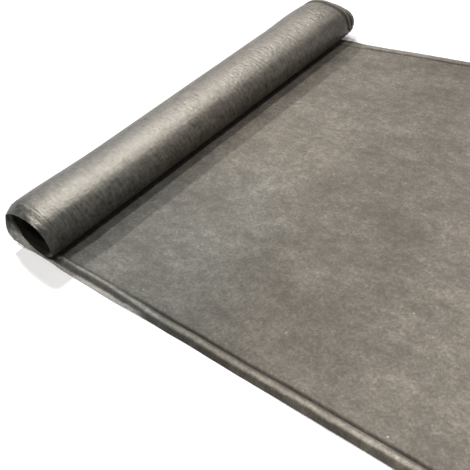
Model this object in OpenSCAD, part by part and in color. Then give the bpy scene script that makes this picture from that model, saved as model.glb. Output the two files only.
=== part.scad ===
// Partly unrolled roll of roofing felt: a coreless roll, sagged to an oval, with its outer end laid out flat.
// Millimetres, +Z up, the roll along Y, the laid length along +X.

/* [Sheet] */
// Width of the sheet between its two long edges
sheet_w = 1000; // [500:10:1500]
// Thickness of the felt
felt_t = 1; // [0.6:0.1:2]
// Length laid out flat, from under the middle of the roll to the cut end
laid_l = 1100; // [400:10:3000]

/* [Roll] */
// Width of the roll's end
roll_w = 170; // [140:1:260]
// Height of the sagged roll
roll_h = 111; // [90:1:140]
// Radius of the roll's two tight sides, as a share of half its height
side_share = 0.81; // [0.7:0.01:0.92]
// Number of turns in the roll
turns = 10; // [4:1:14]
// Step from one turn to the next, felt and the air beside it
turn_pitch = 2; // [1.2:0.1:2.4]
// Step that the second turn is wound off the outer one along the roll
first_shift = 10; // [2:0.5:20]
// Further step along the roll from each turn to the next
turn_shift = 1; // [0.4:0.1:2]

/* [Long edges] */
// Width of the ridge that the near edge is curled up to
ridge_w = 24; // [18:1:36]
// Height of the ridge
ridge_h = 13.5; // [8:0.5:15]
// Distance of the ridge's foot from the near edge, where a flat lip is left outside it
lip_w = 6; // [4:0.5:12]
// Length of the lip, from under the middle of the roll
lip_l = 340; // [150:10:380]
// Width of the low band along the far edge
band_w = 13; // [10:1:24]
// Height of the band
band_h = 3.4; // [2.6:0.2:6]

/* [Hidden] */
$fn = 96;
half = 0.5;
quarter_turn = 90;
half_w = roll_w * half;
half_h = roll_h * half;
side_r = side_share * half_h;
// Distance of each tight side's centre from the middle of the roll
side_x = half_w - side_r;
// Radius of the broad top and underside, which meet the tight sides smoothly
broad_r = (pow(side_x, 2) + pow(half_h, 2) - pow(side_r, 2)) / (2 * (half_h - side_r));
// Distance of the broad arcs' centres below and above the middle of the roll
broad_z = broad_r - half_h;
// Direction in which broad and tight arcs meet, as a share of the broad radius
meet_share = side_x / (broad_r - side_r);
wall_t = turns * turn_pitch;
near_y = -sheet_w * half;
far_y = sheet_w * half;
// How far the innermost turn is wound off the outer one
last_shift = first_shift + (turns - 2) * turn_shift;
// Extra reach of a cut past the face it opens
cut_over = felt_t;
// The laid length starts inside the roll's lowest turn
tuck_share = 0.12;
tuck_x = half_w * tuck_share;
// Middle of the ridge and of the band
ridge_y = near_y + lip_w + ridge_w * half;
band_y = far_y - band_w * half;
// The curled edges come out from under the roll where it has risen to the ridge's height
curl_x = sqrt(pow(broad_r, 2) - pow(broad_r - (ridge_h - felt_t), 2));
// Flat felt under the roll, which the curled edges start from
under_x = curl_x + felt_t;
under_near_y = near_y + felt_t;
under_far_y = far_y - felt_t;
// The lip narrows to the ridge's foot over the last stretch of its length
lip_taper_share = 0.85;
// The origin is under the middle of the whole piece
mid_x = (laid_l - half_w) * half;
mid_y = last_shift * half;

// Shift along the roll of one turn, counted from the outer one
function shift_of(turn) = turn == 0 ? 0 : first_shift + (turn - 1) * turn_shift;

// Radius of the arc of a curled edge, from its width at the foot and its height
function curl_r(width, height) = (pow(width * half, 2) + pow(height, 2)) / (2 * height);

// Height of that arc's centre
function curl_z(width, height) = height - curl_r(width, height);

// Half width at a given height of an arc with that centre
function half_chord(radius, centre_z, at_z) = sqrt(pow(radius, 2) - pow(at_z - centre_z, 2));

// Distance from the middle of a curled edge at which the flat felt ends within its wall
function curl_reach(width, height) =
    half * (half_chord(curl_r(width, height), curl_z(width, height), felt_t)
        + half_chord(curl_r(width, height) - felt_t, curl_z(width, height), 0));

// Outline of the roll's end, drawn in by a given distance
module oval(inset) {
    union() {
        intersection() {
            translate([0, -broad_z])
                circle(r = broad_r - inset);
            translate([0, broad_z])
                circle(r = broad_r - inset);
            square([2 * meet_share * (broad_r - inset), roll_h], center = true);
        }
        for (side = [-1, 1])
            translate([side * side_x, 0])
                circle(r = side_r - inset);
    }
}

// Solid length of the roll between two places along it, drawn in by a given distance
module length_of_roll(from_y, to_y, inset) {
    translate([0, to_y, half_h])
        rotate([quarter_turn, 0, 0])
            linear_extrude(height = to_y - from_y)
                oval(inset);
}

// Wound turns, each wound a little further along than the one around it, with the hollow through them
module wound_turns() {
    difference() {
        union() {
            length_of_roll(near_y, far_y, 0);
            for (turn = [1 : turns - 1])
                length_of_roll(0, far_y + shift_of(turn), turn * turn_pitch);
        }
        for (turn = [1 : turns - 1])
            length_of_roll(near_y - cut_over, near_y + shift_of(turn), turn * turn_pitch);
        length_of_roll(near_y - cut_over, far_y + last_shift + cut_over, wall_t);
    }
}

// Felt lying flat: the laid length between its curled edges, the strip under the roll, and the lip beside it
module flat_felt() {
    ridge_in = curl_reach(ridge_w, ridge_h);
    band_in = curl_reach(band_w, band_h);
    linear_extrude(height = felt_t)
        polygon([
            [tuck_x, under_near_y],
            [lip_l * lip_taper_share, under_near_y],
            [lip_l, ridge_y - ridge_in],
            [under_x, ridge_y - ridge_in],
            [under_x, ridge_y + ridge_in],
            [laid_l, ridge_y + ridge_in],
            [laid_l, band_y - band_in],
            [under_x, band_y - band_in],
            [under_x, under_far_y],
            [tuck_x, under_far_y]
        ]);
}

// Long edge of the laid length, curled up to an arch that is open underneath
module curled_edge(middle_y, width, height) {
    radius = curl_r(width, height);
    translate([curl_x, middle_y, 0])
        rotate([quarter_turn, 0, quarter_turn])
            linear_extrude(height = laid_l - curl_x)
                intersection() {
                    translate([0, curl_z(width, height)])
                        difference() {
                            circle(r = radius);
                            circle(r = radius - felt_t);
                        }
                    translate([-radius - cut_over, 0])
                        square([2 * (radius + cut_over), height + cut_over]);
                }
}

module roofing_felt() {
    color([0.53, 0.51, 0.47])
        translate([-mid_x, -mid_y, 0])
            union() {
                wound_turns();
                flat_felt();
                curled_edge(ridge_y, ridge_w, ridge_h);
                curled_edge(band_y, band_w, band_h);
            }
}

roofing_felt();
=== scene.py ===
"""A partly unrolled roll of roofing felt: one sheet, wound without a core and laid out from under its roll.

Metres, +Z up, +X along the laid length, +Y along the roll.
"""

import math
from types import SimpleNamespace

import bpy
from mathutils import Matrix, Vector


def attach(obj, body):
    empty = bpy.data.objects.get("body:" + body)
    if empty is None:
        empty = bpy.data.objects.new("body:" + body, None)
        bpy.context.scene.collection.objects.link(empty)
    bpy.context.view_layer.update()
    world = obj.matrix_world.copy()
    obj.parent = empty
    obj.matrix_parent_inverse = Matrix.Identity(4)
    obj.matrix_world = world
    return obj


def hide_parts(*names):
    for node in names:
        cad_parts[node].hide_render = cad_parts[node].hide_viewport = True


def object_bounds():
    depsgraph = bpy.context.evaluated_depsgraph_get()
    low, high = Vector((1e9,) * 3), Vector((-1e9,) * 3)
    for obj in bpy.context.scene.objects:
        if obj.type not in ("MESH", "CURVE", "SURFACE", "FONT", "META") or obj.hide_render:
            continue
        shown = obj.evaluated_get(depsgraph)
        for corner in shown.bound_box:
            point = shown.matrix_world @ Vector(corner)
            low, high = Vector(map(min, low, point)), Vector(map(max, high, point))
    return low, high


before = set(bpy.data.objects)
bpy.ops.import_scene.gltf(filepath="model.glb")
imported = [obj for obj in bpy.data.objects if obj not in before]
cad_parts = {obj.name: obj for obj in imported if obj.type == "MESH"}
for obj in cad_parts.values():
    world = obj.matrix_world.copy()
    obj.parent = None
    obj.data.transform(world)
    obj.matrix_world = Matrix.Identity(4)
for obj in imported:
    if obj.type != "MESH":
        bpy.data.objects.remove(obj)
cad_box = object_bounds()
low = cad_box[0]

# The sheet
SHEET_WIDTH = 1.0
FELT_THICKNESS = 0.001
LAID_LENGTH = 1.1
SHARP_EDGE = math.radians(60)

# Sections of the long edges, from the raw edge inwards: millimetres in from the edge, millimetres up.
# Further out the near edge is curled over to a ridge; by the roll a flat lip is left outside the ridge.
MILLIMETRE = 0.001
NEAR_RIDGE = [
    (3.2, 0.6), (3.7, 2.0), (5.0, 4.6), (6.6, 7.6), (8.2, 10.6), (10.2, 12.6), (13.2, 13.6), (16.5, 13.5),
    (19.6, 12.0), (22.4, 8.4), (24.8, 4.0), (26.8, 0.7), (28.2, 2.0), (30.4, 3.4), (34.5, 4.4), (44.0, 4.6),
    (62.0, 2.6), (100.0, 0.5),
]
NEAR_LIP = [
    (1.0, 0.6), (4.0, 0.6), (7.2, 0.6), (9.6, 0.8), (11.2, 2.0), (13.0, 5.6), (15.2, 9.0), (18.0, 10.6),
    (21.4, 10.4), (24.6, 8.0), (27.2, 3.6), (29.2, 0.7), (30.6, 1.8), (32.8, 3.0), (36.6, 3.9), (46.0, 4.0),
    (64.0, 2.2), (100.0, 0.5),
]
# Pressed flat in the roll, with the crease left in the felt
NEAR_PRESSED = [
    (3.5, 0.0), (5.5, 0.0), (7.5, 0.0), (9.5, 0.0), (12.0, 0.0), (15.0, 0.0), (18.0, 0.0), (21.0, 0.0),
    (24.0, 0.0), (26.5, 0.0), (28.5, 0.2), (30.5, 0.5), (32.5, 0.2), (35.0, 0.0), (39.0, 0.0), (48.0, 0.0),
    (66.0, 0.0), (100.0, 0.0),
]
FAR_BAND = [
    (1.5, 0.6), (1.8, 2.0), (4.0, 3.2), (9.0, 3.4), (14.5, 3.1), (17.0, 1.6), (18.4, 0.5), (21.0, 0.9),
    (27.0, 0.6), (40.0, 0.5),
]
FAR_PRESSED = [
    (-6.5, 0.0), (-5.0, 0.0), (-2.5, 0.0), (1.5, 0.0), (5.5, 0.0), (8.5, 0.1), (11.0, 0.2), (14.0, 0.1),
    (24.0, 0.0), (40.0, 0.0),
]

# Along the laid length, from the roll's middle: where the edges come loose, and where the lip runs out
NEAR_LOOSENS = (0.030, 0.095)
FAR_LOOSENS = (0.065, 0.170)
LIP_RUNS_OUT = (0.22, 0.40)
# Shares of their height by which the near ridge and the far band are uneven
RIDGE_UNEVEN = 0.35
BAND_UNEVEN = 0.9

# The roll
ROLL_WIDTH = 0.170
ROLL_HEIGHT = 0.111
SIDE_SHARE = 0.81
TURNS = 10
TURN_STEP = 0.002

# Stretches of the winding, in turns from under the roll, up its back and over its top: start and full,
# and then fade and end
OUTER_TURN = (0.0, 0.08, 0.97, 1.0)
INNER_TURNS = (0.95, 1.3)
SHIFTED_TURNS = (0.80, 1.04)
LATER_TURN = (0.84, 0.98, 1.02, 1.20)
SOONER_TURN = (0.77, 0.87, 0.92, 1.04)
LOW_BACK = (0.02, 0.11, 0.15, 0.32)
OVER_BACK = (0.10, 0.34, 0.55, 0.74)
SAGGED_BACK = (0.16, 0.36, 0.48, 0.58)
DRAWN_IN_TURN = (0.44, 0.54)

# How far the felt is wound off along the roll, and how far in from the ends some of that reaches
FIRST_SHIFT = 0.016
TURN_SHIFT = 0.0006
LATER_BY = 0.009
SOONER_BY = 0.016
STANDS_OUT_BY = 0.0085
WANDERS_BY = 0.003
SHIFTED_END = 0.25

# Times per metre that the felt wanders, flutters, waves, ripples and crinkles
WANDERS = 9.0
FLUTTERS = 28.0
WAVES = 3.2
RIPPLES_ALONG = 14.0
RIPPLES_ACROSS = 5.0
CRINKLES_ALONG = 42.0
CRINKLES_ACROSS = 80.0
# Part of the noise that rises as waves, and its level where the rim lies even
WAVE_TOPS = (0.45, 0.8)
CRINKLE_MIDDLE = 0.38
# How far the felt is uneven, and where, in metres from the edge or from the roll's middle
WAVE_RISE = 0.0035
WAVES_START = (0.08, 0.3)
RIPPLE = 0.0007
RIM_CRINKLE = 0.0040
CRINKLED_RIM = (0.018, 0.055)
NEAR_FLARE = 0.0052
NEAR_FLARE_END = (0.05, 0.26)
FAR_FLARE = 0.0025
FAR_FLARE_PLACE = (0.0, 0.06, 0.07, 0.17)
NEAR_CURL = 0.0025
SAGGED_CURL = 0.0100
NEAR_CURL_END = (0.0035, 0.042)
FAR_CURL = 0.0040
FAR_CURL_END = (-0.0065, 0.025)
INNER_SAG = 0.003
INNER_TOP_SAG = 0.010
FAR_SAG_END = (0.0, 0.05)

# Divisions of the felt across its width: near edge, middle and far edge
NEAR_COLUMNS = 34
MIDDLE_COLUMNS = 27
FAR_COLUMNS = 14
FAR_MATT_COLUMNS = 11
COLUMNS = NEAR_COLUMNS + MIDDLE_COLUMNS + FAR_COLUMNS
# Divisions along it: the laid length, closer by the roll, the outer turn and each inner turn
LAID_ROWS = 116
CLOSER_BY_ROLL = 0.72
OUTER_ROWS = 104
INNER_ROWS = 40
ROWS = LAID_ROWS + OUTER_ROWS + INNER_ROWS * (TURNS - 1)

# Where the roll lies in the frame
ROLL_X = low.x + ROLL_WIDTH / 2
NEAR_EDGE_Y = low.y
SHEET_MIDDLE_Y = NEAR_EDGE_Y + SHEET_WIDTH / 2

# What the felt's rule is given, by the names of its inputs
FELT_SIZES = {
    "Sheet width": SHEET_WIDTH,
    "Laid length": LAID_LENGTH,
    "Felt thickness": FELT_THICKNESS,
    "Roll width": ROLL_WIDTH,
    "Roll height": ROLL_HEIGHT,
    "Side share": SIDE_SHARE,
    "Turn step": TURN_STEP,
    "First shift": FIRST_SHIFT,
    "Turn shift": TURN_SHIFT,
    "Roll X": ROLL_X,
    "Sheet middle Y": SHEET_MIDDLE_Y,
    "Seed": 5.0,
}

# Both faces of the felt: two tints, that change with the distance from a corner off the roll's near end
GREENER = (0.178, 0.175, 0.160)
BROWNER = (0.192, 0.173, 0.148)
CORNER_ACROSS = -0.55
TINT_CHANGES = (0.35, 0.63)
TINT_CLOUDS = 0.4
LEAST_STRENGTH = 0.04
BUMP_STRENGTH = 0.9
BUMP_DEPTH = 0.0012
FELT_IOR = 1.7
GLOSS_TINT = (1.0, 0.92, 0.80, 1.0)

# Matt face: tone, amounts of its patterns and finish
MATT_TONE = 0.95
FIBRE_TONE = 0.98
MATT_WISPS = 1.08
MATT_SPECKLE = 2.05
MATT_FLECKS = 0.85
MATT_CLOUDS = -0.7
LIGHT_FIBRES = 0.7
MATT_BUMP = 0.5
MATT_ROUGHNESS = 0.80
MATT_GLOSS = 0.14

# Matt face, painted light on the ridge crest, the lip and the far band, and painted shade down the ridge
# side and in the creases of the long edges of the laid length. Across the sheet the places are metres from
# the edge. Along it they are metres of felt wound, which are less than 0 on the laid length.
LAID_ENDS = (-0.06, -0.02)
PAINTED_LIT_LIP_STARTS = (-0.36, -0.32)
PAINTED_LIT_LIP_WIDTH = (0.0065, 0.0095)
RIDGE_SET_BACK = 0.0085
CREST = (0.0085, 0.0115, 0.0140, 0.0180)
RIDGE_SIDE = (0.0010, 0.0050, 0.0075, 0.0112)
CREASE = (0.0165, 0.0255, 0.0287, 0.0335)
BAND = (0.0010, 0.0030, 0.0130, 0.0160)
BAND_CREASE = (0.0160, 0.0178, 0.0190, 0.0225)
CREST_PAINTED_LIGHT = 0.72
LIP_PAINTED_LIGHT = 1.10
BAND_PAINTED_LIGHT = 0.45
SIDE_PAINTED_SHADE = 0.26
CREASE_PAINTED_SHADE = 0.60
CREASE_PAINTED_SHADE_BY_ROLL = 0.20
BAND_CREASE_PAINTED_SHADE = 0.42
LIP_RAGGED = 0.005
FOOT_RAGGED = 0.006
SIDE_PATCHY = 2.0

# Matt face in the roll, painted light and painted shade, in metres of felt wound and metres from the edge
PAINTED_LIGHT_INSIDE = (0.0, 0.06, 0.30, 0.36)
PAINTED_LIGHT_INSIDE_WIDTH = (0.014, 0.030)
PAINTED_LIGHT_INSIDE_STRENGTH = 1.2
PAINTED_LIGHT_INSIDE_PATCHY = 1.5
DEEP_INSIDE = (0.37, 0.42)
DEEP_FROM_FAR = (0.003, 0.012)
DEEP_PAINTED_SHADE = 0.85
FAR_BAND_SHADE_STARTS = (0.0, 0.02)
FAR_SHADED_BAND = (0.0005, 0.0025, 0.0120, 0.0180)
FAR_BAND_PAINTED_SHADE = 0.70

# Matt face, slow change of tone over the laid length, painted light and shade. The darkest place and the
# start of the darker edges are metres from the cut end; the lighter belt, a painted sheen, is in metres of
# felt wound.
DARKEST_ALONG = 0.57 * LAID_LENGTH
LIGHTER_ALONG = 1.6
LIGHTER_AT_MOST = 0.20
DARKER_ACROSS = 1.1
DARKER_STARTS = (0.2, 0.7)
PAINTED_SHEEN_BELT = (-0.45, -0.32, -0.20, -0.12)
BELT_PAINTED_SHEEN = 0.09

# Lint: cells per metre, size of a speck in its cell, share of cells without one, and how light it is
LINT_CELLS = 20.0
LINT_SIZE = (0.02, 0.05)
LINT_FREE = 0.93
LINT_LIGHT = 1.2

# Smooth face: tone, amounts of its patterns and finish
SMOOTH_TONE = 0.46
SMOOTH_CLOUDS = 0.9
SMOOTH_WISPS = 2.4
SMOOTH_STREAKS = 1.9
SMOOTH_GRAIN = 1.5
SMOOTH_MOTTLE = 1.7
SMOOTH_BUMP = 0.80
SMOOTH_ROUGHNESS = 0.42
SMOOTH_GLOSS = 0.32

# Smooth face, painted shade low at the front and at the two ends of the roll, in metres of felt wound and
# metres from the edge
LOW_FRONT = (0.315, 0.365)
LOW_FRONT_PAINTED_SHADE = 0.22
NEAR_END = (0.03, 0.15)
NEAR_END_PAINTED_SHADE = 0.12
FAR_END = (0.03, 0.13)
FAR_END_STARTS = (0.26, 0.32)
FAR_END_PAINTED_SHADE = 0.18

# White floor: how it looks, how it lights the felt, and its own white where it is looked at
FLOOR_HALF = 12.0
FLOOR_SEEN = (0.95, 0.95, 0.95, 1.0)
FLOOR_AS_LIGHT = (0.32, 0.315, 0.31, 1.0)
FLOOR_GLOW = 0.15
FLOOR_ROUGHNESS = 0.9
# Dim room: its strength, and the height of its direction up to which it is white in gloss
ROOM_STRENGTH = 0.11
WHITE_LOW_DOWN = (0.02, 0.30)
WHITE = (1.0, 1.0, 1.0, 1.0)

# Lamps: direction, width in degrees, strength. The first ones light the felt, the others show in its gloss.
LAMP_COLOUR = (1.0, 0.985, 0.96)
LIGHTING_LAMPS = {
    "window": ((-1.42, 0.90, 2.00), 4.0, 1.80),
    "overhead": ((0.0, -0.30, 2.00), 4.0, 1.15),
    "side_lamp": ((1.25, -0.50, 2.00), 5.0, 0.82),
}
GLOSS_LAMPS = {
    "ceiling_strip": ((-0.63, 0.79, 2.00), 30.0, 4.0),
    "window_glow": ((-1.32, 0.83, 2.00), 45.0, 1.4),
    "low_window_glow": ((-3.10, 1.80, 2.00), 30.0, 0.36),
    "ceiling_glow": ((0.25, 1.24, 2.00), 40.0, 1.05),
    "side_glow": ((1.75, 1.60, 2.00), 60.0, 0.75),
}

# Camera: place, heading from +X, tilt below the horizon, turn about its own line of sight
PICTURE_PIXELS = 470
FOCAL_PIXELS = 736.9
SENSOR_MM = 36.0
CLIP_START = 0.01
CAMERA_FROM_ROLL = Vector((1.2657, -0.9146, 0.8871))
CAMERA_HEADING = math.radians(143.9)
CAMERA_TILT = math.radians(37.87)
CAMERA_TURN = math.radians(16.7)


class Sum:
    """A number that nodes work out, so that the rule of a shape reads as a sum."""

    def __init__(self, tree, socket):
        self.tree = tree
        self.socket = socket

    def step(self, operation, *others):
        made = self.tree.nodes.new("ShaderNodeMath")
        made.operation = operation
        for place, value in enumerate((self, *others)):
            feed(self.tree, value, made.inputs[place])
        return Sum(self.tree, made.outputs[0])

    def __add__(self, other):
        return self.step("ADD", other)

    def __sub__(self, other):
        return self.step("SUBTRACT", other)

    def __mul__(self, other):
        return self.step("MULTIPLY", other)

    def __truediv__(self, other):
        return self.step("DIVIDE", other)

    def __rsub__(self, other):
        return (self * -1.0) + other

    def __neg__(self):
        return self * -1.0

    __radd__ = __add__
    __rmul__ = __mul__

    def sin(self):
        return self.step("SINE")

    def cos(self):
        return self.step("COSINE")

    def size(self):
        return self.step("ABSOLUTE")

    def sign(self):
        return self.step("SIGN")

    def under(self, other):
        return self.step("LESS_THAN", other)

    def over(self, other):
        return self.step("GREATER_THAN", other)

    def at_least(self, other):
        return self.step("MAXIMUM", other)

    def at_most(self, other):
        return self.step("MINIMUM", other)

    def power(self, other):
        return self.step("POWER", other)

    def rest(self, other):
        return self.step("FLOORED_MODULO", other)

    def floor(self):
        return self.step("FLOOR")

    def share(self, start, end):
        """0 before start, 1 after end, and straight between them."""
        return ((self - start) / (end - start)).at_least(0.0).at_most(1.0)

    def ease(self, start, end):
        """0 before start, 1 after end, and smooth between them."""
        part = self.share(start, end)
        return part * part * (3.0 - 2.0 * part)

    def between(self, start, full, fade, end):
        """1 from full to fade, easing in after start and out before end."""
        return self.ease(start, full) * (1.0 - self.ease(fade, end))


def blend(one, other, share):
    """The first number where share is 0, the other where it is 1."""
    return one * (1.0 - share) + other * share


def feed(tree, value, socket):
    """Sets a socket to a number, or links a worked-out one to it."""
    if isinstance(value, Sum):
        tree.links.new(value.socket, socket)
    elif isinstance(value, bpy.types.NodeSocket):
        tree.links.new(value, socket)
    else:
        socket.default_value = value


def node(tree, kind, inputs=None, **settings):
    """A node with its settings, and its inputs by name."""
    made = tree.nodes.new(kind)
    for name, value in settings.items():
        setattr(made, name, value)
    for name, value in (inputs or {}).items():
        feed(tree, value, made.inputs[name])
    return made


def point(tree, x, y, z):
    return node(tree, "ShaderNodeCombineXYZ", {"X": x, "Y": y, "Z": z}).outputs[0]


def parts_of(tree, vector):
    """The three numbers of a vector."""
    made = node(tree, "ShaderNodeSeparateXYZ", {0: vector})
    return [Sum(tree, socket) for socket in made.outputs]


def noise(tree, x, y, z, detail=2.0):
    """Soft noise from 0 to 1 at a point."""
    made = node(
        tree,
        "ShaderNodeTexNoise",
        {"Vector": point(tree, x, y, z), "Scale": 1.0, "Detail": detail, "Roughness": 0.5},
    )
    return Sum(tree, made.outputs[0])


def drawn_section(tree, part, stops):
    """Metres in from the edge and metres up, on smooth lines through the evenly spaced stops."""
    margin = 0.5
    lines = []
    for values in zip(*stops):
        least, most = min(values) - margin, max(values) + margin
        made = node(tree, "ShaderNodeFloatCurve", {"Value": part})
        curve = made.mapping.curves[0]
        while len(curve.points) < len(stops):
            curve.points.new(0.5, 0.5)
        for place, value in enumerate(values):
            curve.points[place].location = (place / (len(stops) - 1), (value - least) / (most - least))
            curve.points[place].handle_type = "AUTO_CLAMPED"
        made.mapping.update()
        lines.append((Sum(tree, made.outputs[0]) * (most - least) + least) * MILLIMETRE)
    return lines


def new_tree(name, numbers):
    """A Geometry Nodes tree with named inputs, and its group nodes."""
    tree = bpy.data.node_groups.new(name, "GeometryNodeTree")
    tree.interface.new_socket("Geometry", in_out="INPUT", socket_type="NodeSocketGeometry")
    tree.interface.new_socket("Geometry", in_out="OUTPUT", socket_type="NodeSocketGeometry")
    for label in numbers:
        tree.interface.new_socket(label, in_out="INPUT", socket_type="NodeSocketFloat")
    return tree, tree.nodes.new("NodeGroupInput"), tree.nodes.new("NodeGroupOutput")


def dress(obj, tree, values):
    """Puts a tree on an object, with each named input set through its identifier."""
    modifier = obj.modifiers.new(tree.name, "NODES")
    modifier.node_group = tree
    for item in tree.interface.items_tree:
        if item.item_type == "SOCKET" and item.in_out == "INPUT" and item.name in values:
            modifier[item.identifier] = values[item.name]


def plain_mesh(obj, name):
    """The object's evaluated shape as a plain mesh object at the origin; the object itself goes."""
    graph = bpy.context.evaluated_depsgraph_get()
    mesh = bpy.data.meshes.new_from_object(obj.evaluated_get(graph))
    mesh.name = name
    made = bpy.data.objects.new(name, mesh)
    bpy.context.scene.collection.objects.link(made)
    bpy.data.objects.remove(obj)
    return made


# Shape of the felt

def sagged_oval(size, turn):
    """The oval of four arcs that the roll has sagged to: at a turn, the middle of the arc, the way out from
    there, the arc's radius, and the length of outer line wound so far."""
    half_height = size["Roll height"] * 0.5
    side_radius = half_height * size["Side share"]
    side_x = size["Roll width"] * 0.5 - side_radius
    broad_radius = (side_x * side_x + half_height * half_height - side_radius * side_radius) / (
        2.0 * (half_height - side_radius)
    )
    radius_gain = broad_radius - side_radius
    meet_share = side_x / radius_gain
    meet_angle = meet_share.step("ARCSINE")

    angle = turn * math.tau
    out_x, out_z = -angle.sin(), -angle.cos()
    broad = out_x.size().under(meet_share)
    centre_x = (1.0 - broad) * out_x.sign() * side_x
    centre_z = half_height + broad * -out_z.sign() * (broad_radius - half_height)
    radius = side_radius + broad * radius_gain

    in_turn = angle.rest(math.tau)
    broad_angle = (
        in_turn.at_most(meet_angle)
        + (in_turn - math.pi + meet_angle).at_least(0.0).at_most(2.0 * meet_angle)
        + (in_turn - math.tau + meet_angle).at_least(0.0)
    )
    girth = math.tau * side_radius + 4.0 * meet_angle * radius_gain
    wound = turn.floor() * girth + side_radius * in_turn + radius_gain * broad_angle
    return centre_x, centre_z, out_x, out_z, radius, wound


def long_edges(tree, size, column, laid_x, wander, flutter):
    """Place across the sheet, metres in from the far edge and rise of the felt at a column: the edges are
    loose on the laid length, with a lip by the roll, and pressed flat in the roll."""
    near_part = column.share(0.0, NEAR_COLUMNS)
    middle_part = (column - NEAR_COLUMNS).share(0.0, MIDDLE_COLUMNS)
    far_part = (COLUMNS - column).share(0.0, FAR_COLUMNS)
    near_loose, far_loose = laid_x.ease(*NEAR_LOOSENS), laid_x.ease(*FAR_LOOSENS)
    lip = 1.0 - laid_x.ease(*LIP_RUNS_OUT)

    near_stops = (NEAR_PRESSED, NEAR_RIDGE, NEAR_LIP)
    near_sections = [drawn_section(tree, near_part, stops) for stops in near_stops]
    from_near, near_rise = [
        blend(pressed, blend(ridge, flat_lip, lip), near_loose)
        for pressed, ridge, flat_lip in zip(*near_sections)
    ]
    far_sections = [drawn_section(tree, far_part, stops) for stops in (FAR_PRESSED, FAR_BAND)]
    from_far, far_rise = [blend(pressed, band, far_loose) for pressed, band in zip(*far_sections)]

    felt_lift = near_loose * size["Felt thickness"] * 0.5
    near_rise = (near_rise - felt_lift).at_least(0.0) * (1.0 + RIDGE_UNEVEN * wander)
    far_rise = (far_rise - felt_lift).at_least(0.0) * (1.0 + BAND_UNEVEN * flutter)
    width = size["Sheet width"]
    near_stop, far_stop = NEAR_RIDGE[-1][0] * MILLIMETRE, FAR_BAND[-1][0] * MILLIMETRE
    middle = middle_part * (width - near_stop - far_stop)
    sheet_y = from_near - width * 0.5 + middle - (from_far - far_stop)
    return sheet_y, from_far, near_rise + far_rise


def winding_shift(size, turn, from_near, to_far, wander):
    """How far the felt is wound off along the roll: the inner turns off the outer one, later at the near
    end and sooner at the far end, and the outer one standing out low at the back."""
    later = turn.between(*LATER_TURN) * (1.0 - from_near.ease(0.0, SHIFTED_END))
    sooner = turn.between(*SOONER_TURN) * (1.0 - to_far.ease(0.0, SHIFTED_END))
    return (
        size["First shift"] * turn.ease(*SHIFTED_TURNS)
        + size["Turn shift"] * (turn - 1.0).at_least(0.0)
        - STANDS_OUT_BY * turn.between(*LOW_BACK)
        - LATER_BY * later
        + SOONER_BY * sooner
        + WANDERS_BY * wander
    )


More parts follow.
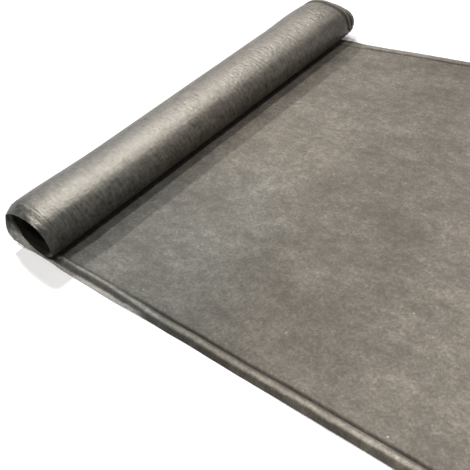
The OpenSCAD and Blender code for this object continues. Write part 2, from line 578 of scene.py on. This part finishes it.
def wound_felt_tree(material):
    """The sheet's middle surface: laid flat, then wound on an oval that each turn draws in."""
    tree, given, out = new_tree("wound_felt", FELT_SIZES)
    size = {socket.name: Sum(tree, socket) for socket in given.outputs if socket.name}
    width, thick, seed = size["Sheet width"], size["Felt thickness"], size["Seed"]

    # Row and column of each point of a plain grid
    grid = node(
        tree,
        "GeometryNodeMeshGrid",
        {
            "Size X": float(ROWS),
            "Size Y": float(COLUMNS),
            "Vertices X": ROWS + 1,
            "Vertices Y": COLUMNS + 1,
        },
    )
    grid_x, grid_y, _ = parts_of(tree, tree.nodes.new("GeometryNodeInputPosition").outputs[0])
    row, column = grid_x + ROWS / 2, grid_y + COLUMNS / 2

    # Turns wound so far, the place on the laid length, and the length of felt from the cut end
    past_outer = (row - LAID_ROWS - OUTER_ROWS).at_least(0.0)
    turn = (row - LAID_ROWS).share(0.0, OUTER_ROWS) + past_outer / INNER_ROWS
    on_roll = row.over(LAID_ROWS - 0.5)
    laid_part = 1.0 - row.share(0.0, LAID_ROWS)
    laid_x = size["Laid length"] * laid_part * (CLOSER_BY_ROLL + (1.0 - CLOSER_BY_ROLL) * laid_part)
    centre_x, centre_z, out_x, out_z, radius, wound = sagged_oval(size, turn)
    inset = thick * 0.5 + size["Turn step"] * turn
    along = size["Laid length"] - laid_x + wound - inset * (turn * math.tau) * on_roll

    # Place across the sheet; each noise has its own place beside the seed
    wander = noise(tree, along * WANDERS, seed, 0.0, detail=1.0) - 0.5
    flutter = noise(tree, along * FLUTTERS, seed + 2.0, 0.0) - 0.5
    sheet_y, from_far, hem_rise = long_edges(tree, size, column, laid_x, wander, flutter)
    from_near, to_far = sheet_y + width * 0.5, width * 0.5 - sheet_y

    # Slow waves on the laid length
    waves = noise(tree, along * WAVES, sheet_y * WAVES, seed + 3.0)
    wave_rise = WAVE_RISE * waves.ease(*WAVE_TOPS) * laid_x.ease(*WAVES_START)

    # The outer turn is rippled, crinkled at its near rim and stands out over the back
    outer = on_roll * turn.between(*OUTER_TURN)
    ripple = noise(tree, along * RIPPLES_ALONG, sheet_y * RIPPLES_ACROSS, seed + 7.0)
    crinkle = noise(tree, along * CRINKLES_ALONG, from_near * CRINKLES_ACROSS, seed + 11.0)
    rim_crinkle = RIM_CRINKLE * (1.0 - from_near.ease(*CRINKLED_RIM)) * (crinkle - CRINKLE_MIDDLE)
    near_flare = NEAR_FLARE * (1.0 - from_near.ease(*NEAR_FLARE_END))
    flare = turn.between(*OVER_BACK) * (near_flare + FAR_FLARE * to_far.between(*FAR_FLARE_PLACE))
    swell = outer * (RIPPLE * ripple + rim_crinkle + flare)

    # Its two ends are drawn in, and the turns within it have sagged at the far end
    near_curl = NEAR_CURL + SAGGED_CURL * turn.between(*SAGGED_BACK)
    near_curl = near_curl * (1.0 - from_near.share(*NEAR_CURL_END)).power(2.0)
    far_curl = FAR_CURL * turn.ease(*DRAWN_IN_TURN) * (1.0 - from_far.share(*FAR_CURL_END)).power(2.0)
    sag = INNER_SAG + INNER_TOP_SAG * out_z.at_least(0.0).power(2.0)
    far_sag = turn.ease(*INNER_TURNS) * sag * (1.0 - from_far.ease(*FAR_SAG_END))
    inward = hem_rise + wave_rise - swell + (outer * (near_curl + far_curl) + far_sag)

    reach = radius - inset - inward
    x = size["Roll X"] + blend(laid_x, centre_x + out_x * reach, on_roll)
    y = size["Sheet middle Y"] + sheet_y + winding_shift(size, turn, from_near, to_far, wander)
    z = blend(thick * 0.5 + inward, centre_z + out_z * reach, on_roll)

    stored = node(
        tree,
        "GeometryNodeStoreNamedAttribute",
        {"Geometry": grid.outputs[0], "Name": "flat_felt"},
        data_type="FLOAT2",
        domain="CORNER",
    )
    feed(tree, point(tree, along, sheet_y, 0.0), stored.inputs["Value"])
    bent = node(
        tree,
        "GeometryNodeSetPosition",
        {"Geometry": stored.outputs[0], "Position": point(tree, x, y, z)},
    )
    smooth = node(tree, "GeometryNodeSetShadeSmooth", {"Geometry": bent.outputs[0]})
    real = node(tree, "GeometryNodeRealizeInstances", {"Geometry": smooth.outputs[0]})
    painted = node(tree, "GeometryNodeSetMaterial", {"Geometry": real.outputs[0], "Material": material})
    tree.links.new(painted.outputs[0], out.inputs[0])
    return tree


def make_felt(matt_face, smooth_face):
    """The whole sheet, as thick as the felt, with its matt face laid up and its smooth face rolled out."""
    rule = bpy.data.objects.new("felt_rule", bpy.data.meshes.new("felt_rule"))
    bpy.context.scene.collection.objects.link(rule)
    dress(rule, wound_felt_tree(matt_face), FELT_SIZES)
    skin = rule.modifiers.new("felt_thickness", "SOLIDIFY")
    skin.thickness = FELT_THICKNESS
    skin.offset = 0.0
    felt = plain_mesh(rule, "felt_sheet")
    felt.data.set_sharp_from_angle(angle=SHARP_EDGE)
    felt.data.materials.clear()
    felt.data.materials.append(smooth_face)
    felt.data.materials.append(matt_face)
    # The smooth face comes first in the mesh, from the cut end inwards. It takes the matt material within
    # the outer turn, and on the band along the far edge of that turn, where that material paints shade. The
    # matt face and the cut edges come after its last row.
    for place, polygon in enumerate(felt.data.polygons):
        row, column = divmod(place, COLUMNS)
        on_far_band = row > LAID_ROWS and column >= COLUMNS - FAR_MATT_COLUMNS
        matt = row >= LAID_ROWS + OUTER_ROWS or on_far_band
        polygon.material_index = 1 if matt else 0
    return felt


# Materials

def shader(name):
    """A material with its node tree and its shader."""
    material = bpy.data.materials.new(name)
    material.use_nodes = True
    tree = material.node_tree
    return material, tree, tree.nodes["Principled BSDF"]


def flat_place(tree):
    """Place on the flat felt: the pattern's vector, and metres from the cut end, metres wound, metres from
    the middle line, and metres in from the near edge and from the far edge."""
    vector = node(tree, "ShaderNodeUVMap", uv_map="flat_felt").outputs[0]
    along, across, _ = parts_of(tree, vector)
    return SimpleNamespace(
        vector=vector,
        along=along,
        wound=along - LAID_LENGTH,
        across=across,
        rim=across + SHEET_WIDTH / 2,
        far_rim=SHEET_WIDTH / 2 - across,
    )


def pattern(tree, vector, scale, detail, roughness, drawn_out=1.0):
    """Noise round 0 on the flat felt, drawn out along the sheet where that share is under 1."""
    drawn = node(tree, "ShaderNodeMapping", {"Vector": vector, "Scale": (drawn_out, 1.0, 1.0)})
    made = node(
        tree,
        "ShaderNodeTexNoise",
        {"Vector": drawn.outputs[0], "Scale": scale, "Detail": detail, "Roughness": roughness},
    )
    return Sum(tree, made.outputs[0]) - 0.5


def cloud_pattern(tree, vector):
    return pattern(tree, vector, scale=3.0, detail=2.0, roughness=0.6)


def lint_specks(tree, vector):
    """Small specks of lint, in a few cells."""
    cells = node(
        tree,
        "ShaderNodeTexVoronoi",
        {"Vector": vector, "Scale": LINT_CELLS},
        voronoi_dimensions="2D",
    )
    speck = 1.0 - Sum(tree, cells.outputs["Distance"]).ease(*LINT_SIZE)
    return speck * parts_of(tree, cells.outputs["Color"])[0].over(LINT_FREE)


def felt_tint(tree, spot, clouds):
    """Greener by the near end of the roll, browner further out."""
    off_across = spot.across - CORNER_ACROSS
    from_corner = (spot.wound * spot.wound + off_across * off_across).power(0.5)
    warm = (from_corner + TINT_CLOUDS * clouds).ease(*TINT_CHANGES)
    made = node(tree, "ShaderNodeValToRGB", {"Fac": warm})
    for element, colour in zip(made.color_ramp.elements, (GREENER, BROWNER)):
        element.color = (*colour, 1.0)
    return made.outputs[0]


def shade(tree, face, tint, strength, height):
    """Colour, bump and kind of gloss of one face of the felt."""
    colour = node(tree, "ShaderNodeVectorMath", {0: tint}, operation="SCALE")
    feed(tree, strength.at_least(LEAST_STRENGTH), colour.inputs["Scale"])
    feed(tree, colour.outputs[0], face.inputs["Base Color"])
    bump = node(
        tree,
        "ShaderNodeBump",
        {"Height": height, "Strength": BUMP_STRENGTH, "Distance": BUMP_DEPTH},
    )
    feed(tree, bump.outputs[0], face.inputs["Normal"])
    face.inputs["IOR"].default_value = FELT_IOR
    face.inputs["Specular Tint"].default_value = GLOSS_TINT


def painted_edge_light_and_shade(spot, uneven):
    """Long edges of the laid length: painted light on the crest, the lip and the far band, and painted
    shade down the ridge side and in the creases.
    """
    by_roll = spot.wound.ease(-LIP_RUNS_OUT[1], -LIP_RUNS_OUT[0])
    laid = 1.0 - spot.wound.ease(*LAID_ENDS)
    past_lip = (spot.rim + LIP_RAGGED * uneven).ease(*PAINTED_LIT_LIP_WIDTH)
    lip = spot.wound.ease(*PAINTED_LIT_LIP_STARTS) * (1.0 - past_lip)
    from_foot = spot.rim - RIDGE_SET_BACK * by_roll + FOOT_RAGGED * uneven
    side = from_foot.between(*RIDGE_SIDE) * (1.0 - lip) * (1.0 + SIDE_PATCHY * uneven)
    crease_shade = CREASE_PAINTED_SHADE - (CREASE_PAINTED_SHADE - CREASE_PAINTED_SHADE_BY_ROLL) * by_roll
    return laid * (
        CREST_PAINTED_LIGHT * from_foot.between(*CREST)
        - SIDE_PAINTED_SHADE * side
        + LIP_PAINTED_LIGHT * lip
        - crease_shade * spot.rim.between(*CREASE)
        + BAND_PAINTED_LIGHT * spot.far_rim.between(*BAND)
        - BAND_CREASE_PAINTED_SHADE * spot.far_rim.between(*BAND_CREASE)
    )


def painted_light_inside(spot, uneven):
    """Painted light inside the near end of the outer turn."""
    painted_lighting = spot.wound.between(*PAINTED_LIGHT_INSIDE) * (1.0 - spot.rim.ease(*PAINTED_LIGHT_INSIDE_WIDTH))
    return PAINTED_LIGHT_INSIDE_STRENGTH * painted_lighting * (1.0 + PAINTED_LIGHT_INSIDE_PATCHY * uneven)


def painted_shade_inside(spot):
    """Painted shade: the turns within the outer one darkened, and a darker band along its far edge."""
    deep = spot.wound.ease(*DEEP_INSIDE) * spot.far_rim.ease(*DEEP_FROM_FAR)
    band_shade = spot.wound.ease(*FAR_BAND_SHADE_STARTS) * spot.far_rim.between(*FAR_SHADED_BAND)
    return (1.0 - DEEP_PAINTED_SHADE * deep) * (1.0 - FAR_BAND_PAINTED_SHADE * band_shade)


def painted_slow_light(spot):
    """Painted light and shade: slowly lighter towards the roll and the cut end, a painted sheen belt,
    darker towards the long edges by the roll.
    """
    off_darkest = spot.along - DARKEST_ALONG
    lighter = (LIGHTER_ALONG * off_darkest * off_darkest).at_most(LIGHTER_AT_MOST)
    darker = DARKER_ACROSS * spot.across * spot.across * spot.along.ease(*DARKER_STARTS)
    return 1.0 + (lighter - darker + BELT_PAINTED_SHEEN * spot.wound.between(*PAINTED_SHEEN_BELT))


def matt_face_material():
    """The face laid up: grey-brown and matt, with wisps along the sheet, speckle, flecks and lint."""
    material, tree, face = shader("felt_matt_face")
    spot = flat_place(tree)
    clouds = cloud_pattern(tree, spot.vector)
    wisps = pattern(tree, spot.vector, scale=14.0, detail=3.0, roughness=0.7, drawn_out=0.5)
    uneven = pattern(tree, spot.vector, scale=45.0, detail=2.0, roughness=0.6, drawn_out=0.5)
    speckle = pattern(tree, spot.vector, scale=45.0, detail=4.5, roughness=0.95, drawn_out=0.8)
    flecks = pattern(tree, spot.vector, scale=170.0, detail=1.0, roughness=0.8)
    # Light fibres stand out more than dark ones
    fibres = MATT_WISPS * wisps + MATT_SPECKLE * speckle + MATT_FLECKS * flecks + MATT_CLOUDS * clouds
    lint = LINT_LIGHT * lint_specks(tree, spot.vector)
    strength = FIBRE_TONE + fibres + LIGHT_FIBRES * fibres * fibres + lint
    # Painted light and painted shade on the edges, in the roll and over the laid length
    painted_lighting = MATT_TONE + painted_edge_light_and_shade(spot, uneven) + painted_light_inside(spot, uneven)
    tone = painted_lighting * painted_shade_inside(spot) * painted_slow_light(spot)
    shade(tree, face, felt_tint(tree, spot, clouds), strength * tone, MATT_BUMP * (wisps + speckle))
    face.inputs["Roughness"].default_value = MATT_ROUGHNESS
    face.inputs["Specular IOR Level"].default_value = MATT_GLOSS
    return material


def smooth_face_material():
    """The face rolled out: darker and satin, with streaks along the sheet, wisps, grain and mottle."""
    material, tree, face = shader("felt_smooth_face")
    spot = flat_place(tree)
    clouds = cloud_pattern(tree, spot.vector)
    wisps = pattern(tree, spot.vector, scale=11.0, detail=7.0, roughness=1.0)
    streaks = pattern(tree, spot.vector, scale=150.0, detail=2.0, roughness=0.6, drawn_out=0.22)
    grain = pattern(tree, spot.vector, scale=120.0, detail=1.0, roughness=0.6)
    mottle = pattern(tree, spot.vector, scale=42.0, detail=2.0, roughness=0.7)
    strength = (
        1.0
        + SMOOTH_CLOUDS * clouds
        + SMOOTH_WISPS * wisps
        + SMOOTH_STREAKS * streaks
        + SMOOTH_GRAIN * grain
        + SMOOTH_MOTTLE * mottle
    )
    # Painted shade: darker low at the front of the roll and at its two ends
    near_end = 1.0 - spot.rim.ease(*NEAR_END)
    far_end = (1.0 - spot.far_rim.ease(*FAR_END)) * spot.wound.ease(*FAR_END_STARTS)
    front = 1.0 - LOW_FRONT_PAINTED_SHADE * spot.wound.ease(*LOW_FRONT)
    tone = (SMOOTH_TONE - NEAR_END_PAINTED_SHADE * near_end - FAR_END_PAINTED_SHADE * far_end) * front
    shade(tree, face, felt_tint(tree, spot, clouds), tone * strength, SMOOTH_BUMP * (grain + streaks))
    face.inputs["Roughness"].default_value = SMOOTH_ROUGHNESS
    face.inputs["Specular IOR Level"].default_value = SMOOTH_GLOSS
    return material


def ray_kinds(tree):
    """1 where a ray comes from the camera, and 1 where it is mirrored or let through."""
    path = tree.nodes.new("ShaderNodeLightPath")
    camera, mirrored, through = [
        Sum(tree, path.outputs[f"Is {kind} Ray"]) for kind in ("Camera", "Glossy", "Transmission")
    ]
    return camera, mirrored.at_least(through)


def floor_material():
    """Plain white floor, dimmer as a light source than it looks."""
    material, tree, face = shader("white_floor")
    face.inputs["Roughness"].default_value = FLOOR_ROUGHNESS
    face.inputs["Specular IOR Level"].default_value = 0.0
    camera, mirrored = ray_kinds(tree)
    # The sockets for colours share their names with others, so they are taken by place
    tone = node(tree, "ShaderNodeMix", data_type="RGBA")
    share, as_light, as_seen, mixed = tone.inputs[0], tone.inputs[6], tone.inputs[7], tone.outputs[2]
    feed(tree, camera.at_least(mirrored), share)
    feed(tree, FLOOR_AS_LIGHT, as_light)
    feed(tree, FLOOR_SEEN, as_seen)
    feed(tree, mixed, face.inputs["Base Color"])
    # A little of its own white where it is looked at, so that the shadow on it stays faint
    face.inputs["Emission Color"].default_value = WHITE
    feed(tree, FLOOR_GLOW * camera, face.inputs["Emission Strength"])
    return material


# Stage

def make_floor():
    corners = [(-1, -1), (1, -1), (1, 1), (-1, 1)]
    mesh = bpy.data.meshes.new("floor")
    mesh.from_pydata([(x * FLOOR_HALF, y * FLOOR_HALF, 0.0) for x, y in corners], [], [(0, 1, 2, 3)])
    floor = bpy.data.objects.new("floor", mesh)
    floor.data.materials.append(floor_material())
    bpy.context.scene.collection.objects.link(floor)


def far_lamp(name, place, width, strength, gloss):
    """A lamp so far off that it lights floor and object evenly; its place is only a direction."""
    lamp = bpy.data.lights.new(name, "SUN")
    lamp.angle = math.radians(width)
    lamp.energy = strength
    lamp.color = LAMP_COLOUR
    obj = bpy.data.objects.new(name, lamp)
    obj.location = Vector(place)
    obj.rotation_mode = "QUATERNION"
    obj.rotation_quaternion = (-Vector(place)).to_track_quat("-Z", "Y")
    obj.visible_glossy = gloss
    obj.visible_diffuse = not gloss
    bpy.context.scene.collection.objects.link(obj)


def make_light():
    for lamps, gloss in ((LIGHTING_LAMPS, False), (GLOSS_LAMPS, True)):
        for name, (place, width, strength) in lamps.items():
            far_lamp(name, place, width, strength, gloss)


def make_room():
    """A dim room round the object; what is seen of it is white, and in gloss it is white low down."""
    world = bpy.data.worlds.new("room")
    bpy.context.scene.world = world
    world.use_nodes = True
    tree = world.node_tree
    wall = tree.nodes["Background"]
    wall.inputs["Color"].default_value = WHITE
    height = parts_of(tree, tree.nodes.new("ShaderNodeTexCoord").outputs["Generated"])[2]
    low_down = 1.0 - height.ease(*WHITE_LOW_DOWN)
    camera, mirrored = ray_kinds(tree)
    white = (mirrored * low_down).at_least(camera)
    feed(tree, ROOM_STRENGTH + (1.0 - ROOM_STRENGTH) * white, wall.inputs["Strength"])


def make_camera():
    """Camera at the photograph's place, aimed by heading, tilt and turn."""
    data = bpy.data.cameras.new("camera")
    data.sensor_width = SENSOR_MM
    data.lens = FOCAL_PIXELS / PICTURE_PIXELS * SENSOR_MM
    data.clip_start = CLIP_START
    camera = bpy.data.objects.new("camera", data)
    flat = Vector((math.cos(CAMERA_HEADING), math.sin(CAMERA_HEADING), 0.0))
    ahead = flat * math.cos(CAMERA_TILT) - Vector((0.0, 0.0, math.sin(CAMERA_TILT)))
    level = ahead.cross(Vector((0.0, 0.0, 1.0))).normalized()
    upright = level.cross(ahead)
    right = level * math.cos(CAMERA_TURN) - upright * math.sin(CAMERA_TURN)
    up = right.cross(ahead)
    aim = Matrix((right, up, -ahead)).transposed().to_4x4()
    place = Vector((ROLL_X, SHEET_MIDDLE_Y, 0.0)) + CAMERA_FROM_ROLL
    camera.matrix_world = Matrix.Translation(place) @ aim
    bpy.context.scene.collection.objects.link(camera)
    bpy.context.scene.camera = camera


felt = make_felt(matt_face_material(), smooth_face_material())
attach(felt, "root")
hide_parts("roofing_felt")

make_floor()
make_light()
make_room()
make_camera()
bpy.context.scene.view_settings.view_transform = "Standard"
